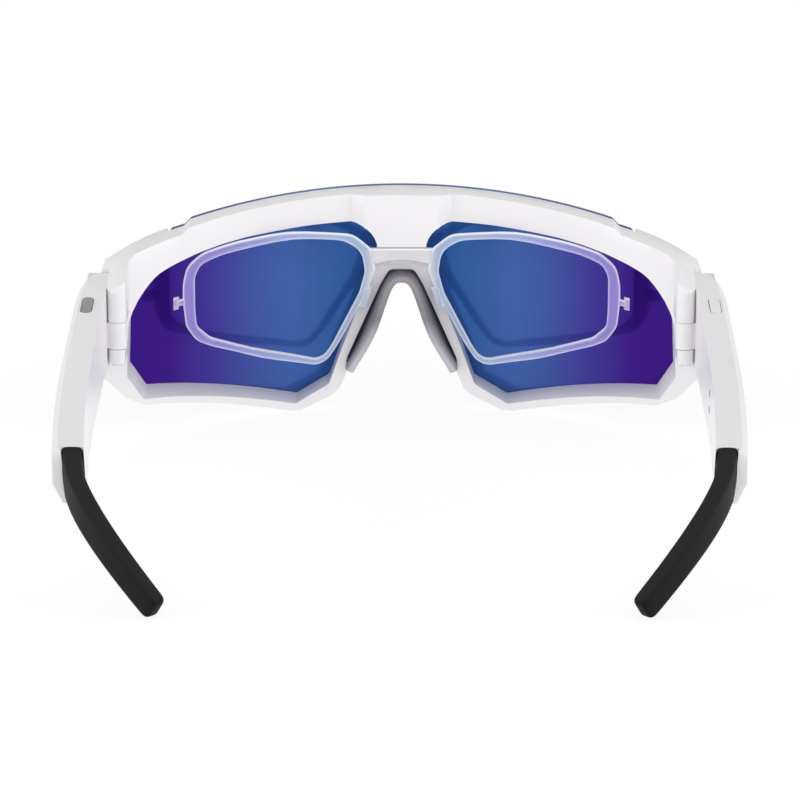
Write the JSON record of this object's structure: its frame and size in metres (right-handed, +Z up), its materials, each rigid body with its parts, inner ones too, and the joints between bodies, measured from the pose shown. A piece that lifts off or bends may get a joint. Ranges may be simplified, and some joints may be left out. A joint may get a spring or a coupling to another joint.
{
  "type": "smart sunglasses",
  "caption": "Wrap-round smart sunglasses: full frame, mirrored shield lens, saddle nose pad, clip-in clear optical rim, folding arms with buttons, speakers and soft ear tips.",
  "frame": {"origin": "on the surface the glasses stand on, under the middle of their bounding box", "axes": "the wearer looks along +Y, +X is the wearer's right, +Z is up"},
  "size_m": [0.1492, 0.165, 0.0534],
  "materials": {
    "white_shell": "gloss",
    "mirror_lens": "mirror coated",
    "soft_pad": "matt",
    "clear_rim": "clear",
    "black_rubber": "matt",
    "steel": "brushed",
    "gilt": "polished",
    "grey_button": "satin",
    "board": "satin",
    "cell_foil": "satin",
    "dark_plastic": "matt",
    "flat_cable": "satin"
  },
  "bodies": {
    "front": {"front_frame": "white_shell", "shield_lens": "mirror_lens", "nose_pad": "soft_pad", "prescription_rim": "clear_rim", "brow_flex": "flat_cable", "hinge_pin_left": "steel", "hinge_pin_right": "steel"},
    "temple_left": {"temple_housing_left": "white_shell", "temple_cover_left": "white_shell", "hinge_leaf_left": "white_shell", "leaf_screws_left": "steel", "button_switch_left": "dark_plastic", "circuit_board_left": "board", "battery_left": "cell_foil", "speaker_left": "dark_plastic", "speaker_grille_left": "dark_plastic", "microphone_left": "gilt", "side_flex_left": "flat_cable", "tip_wire_left": "steel", "ear_tip_left": "black_rubber"},
    "temple_right": {"temple_housing_right": "white_shell", "temple_cover_right": "white_shell", "hinge_leaf_right": "white_shell", "leaf_screws_right": "steel", "button_switch_right": "dark_plastic", "circuit_board_right": "board", "battery_right": "cell_foil", "speaker_right": "dark_plastic", "speaker_grille_right": "dark_plastic", "microphone_right": "gilt", "side_flex_right": "flat_cable", "tip_wire_right": "steel", "ear_tip_right": "black_rubber", "charge_contacts": "gilt"},
    "button_left": {"button_left": "grey_button"},
    "button_right": {"button_right": "white_shell"}
  },
  "joints": [
    {"name": "fold_left", "type": "hinge", "parent": "front", "child": "temple_left", "pos_m": [-0.0655, 0.03749, 0.03], "axis": [0, 0, 1], "range_deg": [0, 86]},
    {"name": "fold_right", "type": "hinge", "parent": "front", "child": "temple_right", "pos_m": [0.0655, 0.03749, 0.03], "axis": [0, 0, -1], "range_deg": [0, 76]},
    {"name": "press_left", "type": "slide", "parent": "temple_left", "child": "button_left", "axis": [0, 0.1392, -0.9903], "range_m": [0, 0.0004], "stiffness_N_per_m": 300, "springref_m": -0.001},
    {"name": "press_right", "type": "slide", "parent": "temple_right", "child": "button_right", "axis": [0, 0.1392, -0.9903], "range_m": [0, 0.0004], "stiffness_N_per_m": 300, "springref_m": -0.001}
  ]
}
